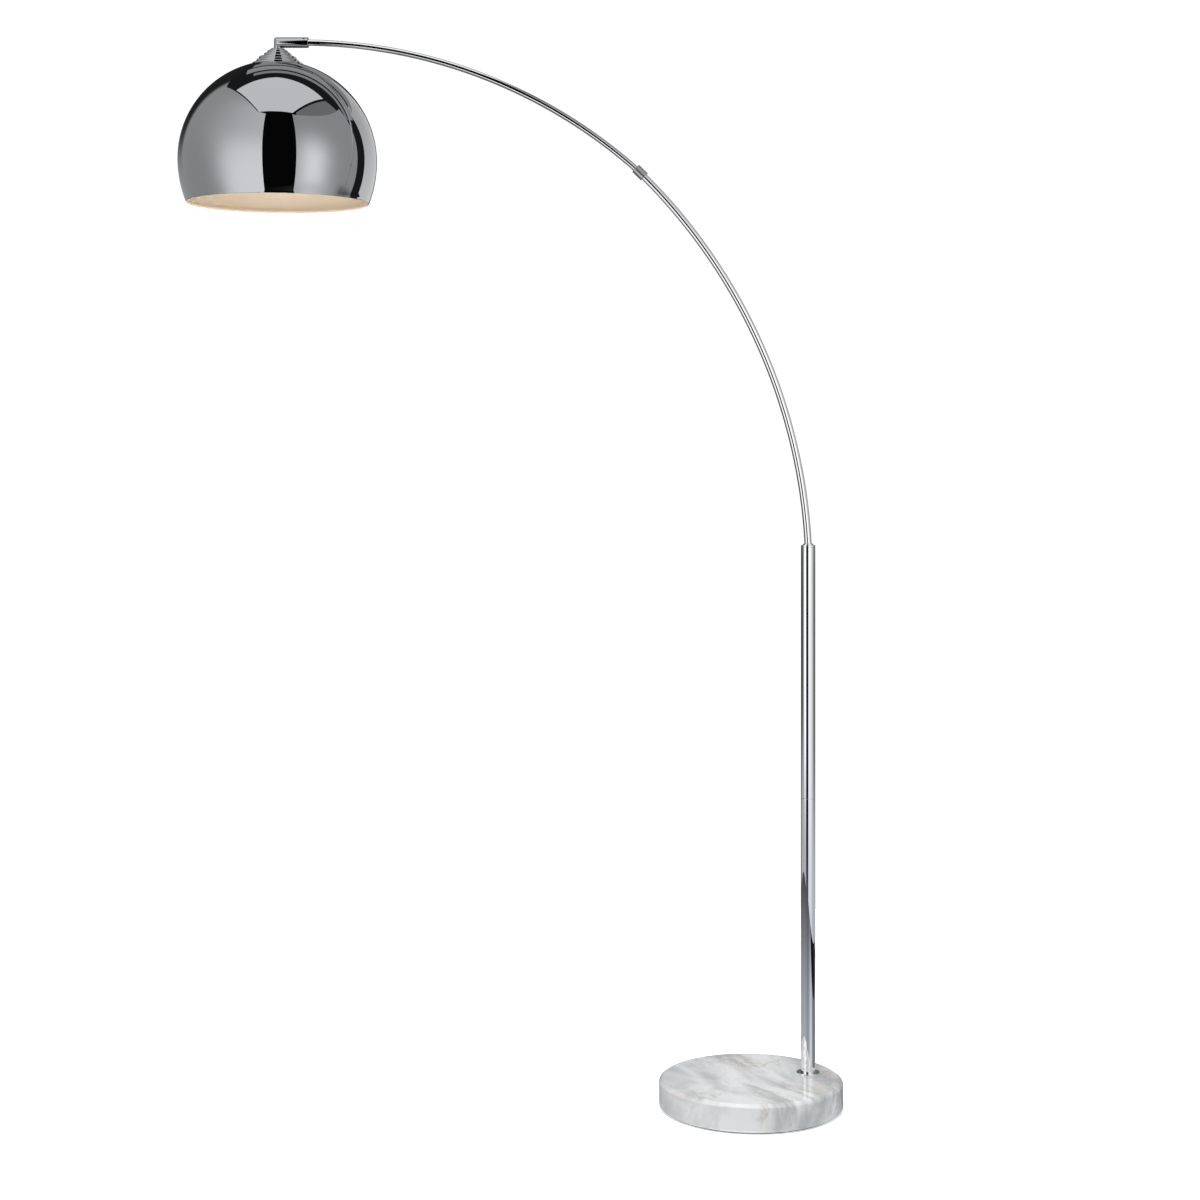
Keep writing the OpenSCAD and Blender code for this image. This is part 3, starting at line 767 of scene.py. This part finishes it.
def glow_material(name):
    """Light whose level is painted on the mesh."""
    material = bpy.data.materials.new(name)
    material.use_nodes = True
    tree = material.node_tree
    tree.nodes.clear()
    level = tree.nodes.new("ShaderNodeAttribute")
    level.attribute_name = "level"
    light = tree.nodes.new("ShaderNodeEmission")
    tree.links.new(level.outputs["Color"], light.inputs["Color"])
    target = tree.nodes.new("ShaderNodeOutputMaterial")
    tree.links.new(light.outputs[0], target.inputs["Surface"])
    return material


GLOW = glow_material("softbox")


def only_in_mirrors(holder):
    holder.visible_camera = False
    holder.visible_diffuse = False
    holder.visible_transmission = False
    holder.visible_volume_scatter = False
    holder.visible_shadow = False


def softbox(name, place, level, across=24, up=24):
    """A grid sheet. place(u, v) gives a point and level(u, v) its colour, for u, v in 0 to 1."""
    spots = [(i / across, k / up) for k in range(up + 1) for i in range(across + 1)]
    verts = [place(u, v) for u, v in spots]
    row = across + 1
    faces = [(k * row + i, k * row + i + 1, (k + 1) * row + i + 1, (k + 1) * row + i)
             for k in range(up) for i in range(across)]
    mesh = bpy.data.meshes.new(name)
    mesh.from_pydata(verts, [], faces)
    mesh.materials.append(GLOW)
    paint_level = mesh.color_attributes.new("level", "FLOAT_COLOR", "POINT")
    for i, (u, v) in enumerate(spots):
        paint_level.data[i].color = (*level(u, v), 1)
    holder = bpy.data.objects.new(name, mesh)
    bpy.context.scene.collection.objects.link(holder)
    only_in_mirrors(holder)


def below(value, edge, width):
    """1 well below the edge and 0 well above it."""
    return 1 / (1 + math.exp((value - edge) / width))


def left_level(bearing, z):
    """The left wall is bright near its front edge and up to head height, and dim elsewhere."""
    away = abs(bearing)
    across = below(away, 66, 5 + 12 * below(1.9, z, 0.15))
    hot = across * (0.52 + 0.48 * below(z, 1.75, 0.15)) * below(0.22, z, 0.06)
    level = 0.42 + 0.78 * hot
    shadow = below(88, away, 2) * below(z, 0.9, 0.04) * below(0.3, z, 0.05)
    level += (0.08 - level) * shadow
    return level * (1 - 0.95 * below(118, away, 1) * below(1.66, z, 0.06))


def right_level(bearing, z):
    """The right wall has a round bright patch with a dimmer band of light under it."""
    across = math.exp(-((bearing - 38) / (17.5 + 5 * below(z, 0.8, 0.08))) ** 2 / 2)
    rise = math.exp(-(max(z - 1.35, 0) / 0.5) ** 2 / 2) * (0.64 + 0.36 * below(0.8, z, 0.08))
    level = 0.45 + 0.79 * across * rise * (0.55 + 0.45 * below(0.2, z, 0.08))
    shadow = below(88, bearing, 3) * below(z, 0.9, 0.04) * below(0.3, z, 0.05)
    return level + (0.12 - level) * shadow


def cooled(level, z):
    """A level's colour, which turns a little blue near the floor."""
    cool = below(z, 0.4, 0.1)
    return level * (1 - 0.05 * cool), level * (1 - 0.02 * cool), level * (1 + 0.07 * cool)


def on_wall(bearing, z):
    angle = math.radians(bearing)
    x, y = STUDIO_CENTRE
    return Vector((x + STUDIO_R * math.sin(angle), y - STUDIO_R * math.cos(angle), z))


def wall_softbox(name, start, end, low, high, level):
    """A curved softbox between two bearings and two heights. level(bearing, z) is its light."""
    def spot(u, v):
        return start + (end - start) * u, low + (high - low) * v

    def tint(u, v):
        bearing, z = spot(u, v)
        return cooled(level(bearing, z), z)

    softbox(name, lambda u, v: on_wall(*spot(u, v)), tint, 48, 48)


def sheet(name, first, last, level):
    """A softbox between two lines. first(u) and last(u) are points along them."""
    softbox(name, lambda u, v: first(u).lerp(last(u), v), lambda u, v: [level(u, v)] * 3, 24, 8)


def ceiling_line(start, end):
    """Points along a straight line in the ceiling."""
    first, last = Vector((*start, CEILING)), Vector((*end, CEILING))
    return lambda u: first.lerp(last, u)


def build_ceiling():
    front_left, front_right = (-1.08, -1.0), (-0.24, -0.92)
    back_left, back_middle, back_right = (-1.40, 0.0), (-0.78, 0.14), (0.03, 0.10)
    front_middle = (-0.66, -0.98)
    sheet("softbox_over_left", ceiling_line(front_left, front_middle),
          ceiling_line(back_left, back_middle), lambda u, v: FAN_LEVEL)
    sheet("softbox_over_right", ceiling_line(front_middle, front_right),
          ceiling_line(back_middle, back_right), lambda u, v: FAN_LEVEL)
    sheet("ceiling_left", ceiling_line((-1.10, -1.02), (-1.43, 0.0)), lambda u: on_wall(-28 - 82 * u, 2.85),
          lambda u, v: left_level(-28 - 82 * u, 2.7))
    sheet("ceiling_right", ceiling_line((-0.16, -0.86), (0.10, 0.10)), lambda u: on_wall(22 + 84 * u, 3.1),
          lambda u, v: 0.26)
    for front, back, left, light in CEILING_STRIPS:
        sheet(f"ceiling_strip_{front:.2f}", ceiling_line((left, front), (0.9, front + 0.25)),
              ceiling_line((left, back), (0.9, back + 0.25)), lambda u, v, light=light: light)


def build_room():
    """A dark sphere round everything, so that no mirror sees the world."""
    work = bmesh.new()
    bmesh.ops.create_icosphere(work, subdivisions=4, radius=ROOM_R)
    mesh = bpy.data.meshes.new("room")
    work.to_mesh(mesh)
    work.free()
    mesh.materials.append(GLOW)
    level = mesh.color_attributes.new("level", "FLOAT_COLOR", "POINT")
    for i, vert in enumerate(mesh.vertices):
        dark = 0.003 if vert.co.y < -0.3 * ROOM_R else 0.018
        level.data[i].color = (dark, dark, dark * 1.05, 1)
    room = bpy.data.objects.new("room", mesh)
    bpy.context.scene.collection.objects.link(room)
    only_in_mirrors(room)


def build_floor_glow():
    """What mirrors see of the floor: grey-blue light that fades towards the camera."""
    left, right, front, back = -2.2, 0.75, -2.6, 1.2

    def place(u, v):
        return Vector((left + (right - left) * u, front + (back - front) * v, 0.001))

    def level(u, v):
        out = place(u, v).xy - Vector(POLE)
        bearing = math.degrees(math.atan2(out.x, -out.y))
        streaks = 1 + sum(gain * math.exp(-((bearing - at) / width) ** 2 / 2)
                          for gain, at, width in FLOOR_STREAKS)
        glow = FLOOR_GLOW * math.exp(-(out.length / FLOOR_FADE) ** 2) * streaks
        return glow * 0.92, glow * 0.96, glow * 1.07

    softbox("floor_glow", place, level, 96, 96)


def build_floor():
    s = Surface("studio_floor", (0.93, 0.93, 0.93), 0.9)
    s.put("Roughness", s.levels(s.noise(3, 3), 0.3, 0.7, 0.85, 0.95))
    s.put("Emission Color", (1, 1, 1, 1))
    s.put("Emission Strength", 0.45)
    mesh = bpy.data.meshes.new("floor")
    ring = [(STUDIO_CENTRE[0] + FLOOR_R * math.cos(TURN * i / 128),
             STUDIO_CENTRE[1] + FLOOR_R * math.sin(TURN * i / 128), 0) for i in range(128)]
    mesh.from_pydata(ring, [], [tuple(range(128))])
    mesh.materials.append(s.material)
    floor = bpy.data.objects.new("floor", mesh)
    floor.visible_glossy = False
    bpy.context.scene.collection.objects.link(floor)


def set_world():
    world = bpy.data.worlds.new("studio")
    bpy.context.scene.world = world
    world.use_nodes = True
    background = world.node_tree.nodes["Background"]
    background.inputs["Color"].default_value = (1.0, 1.0, 1.0, 1)
    background.inputs["Strength"].default_value = 1.05
    world.cycles_visibility.glossy = False
    world.cycles_visibility.diffuse = False


def area_light(name, place, aim, size, power):
    light = bpy.data.lights.new(name, "AREA")
    light.shape = "DISK"
    light.size = size
    light.energy = power
    holder = bpy.data.objects.new(name, light)
    holder.location = place
    holder.rotation_euler = (Vector(aim) - Vector(place)).to_track_quat("-Z", "Y").to_euler()
    holder.visible_glossy = False
    holder.visible_camera = False
    bpy.context.scene.collection.objects.link(holder)


def build_studio():
    set_world()
    build_room()
    build_floor()
    build_floor_glow()
    build_ceiling()
    wall_softbox("softbox_left", -150, -24, 0.0, 2.85, left_level)
    wall_softbox("softbox_right", 15, 115, 0.03, 3.1, right_level)
    wall_softbox("side_right", 115, 172, 0.0, 0.9,
                 lambda bearing, z: 0.12 + 0.3 * below(z, 0.3, 0.05))
    wall_softbox("backdrop_right", 133, 182, 1.1, 2.75,
                 lambda bearing, z: 0.62 + 0.3 * below(z, 1.8, 0.3))
    area_light("overhead", (-0.3, -0.2, 3.2), (-0.3, -0.2, 0), 2.4, 152)
    area_light("front", (-0.6, -3.2, 1.2), (0, 0, 0.2), 1.6, 4)
    area_light("under_shade", (SHADE[0], -0.45, 0.5), (SHADE[0], 0, 1.55), 0.8, 9.5)


# ---- All together ----

set_camera()
dress_cad_nodes()
build_stone()
build_felt()
build_bolt()
build_pole()
build_collar()
build_pole_cap()
build_arm()
build_shade()
build_shade_cap()
build_nut()
build_lampholder()
build_screw_shell()
build_bulb_cap()
build_globe()
build_studio()
bpy.context.scene.view_settings.view_transform = "Standard"
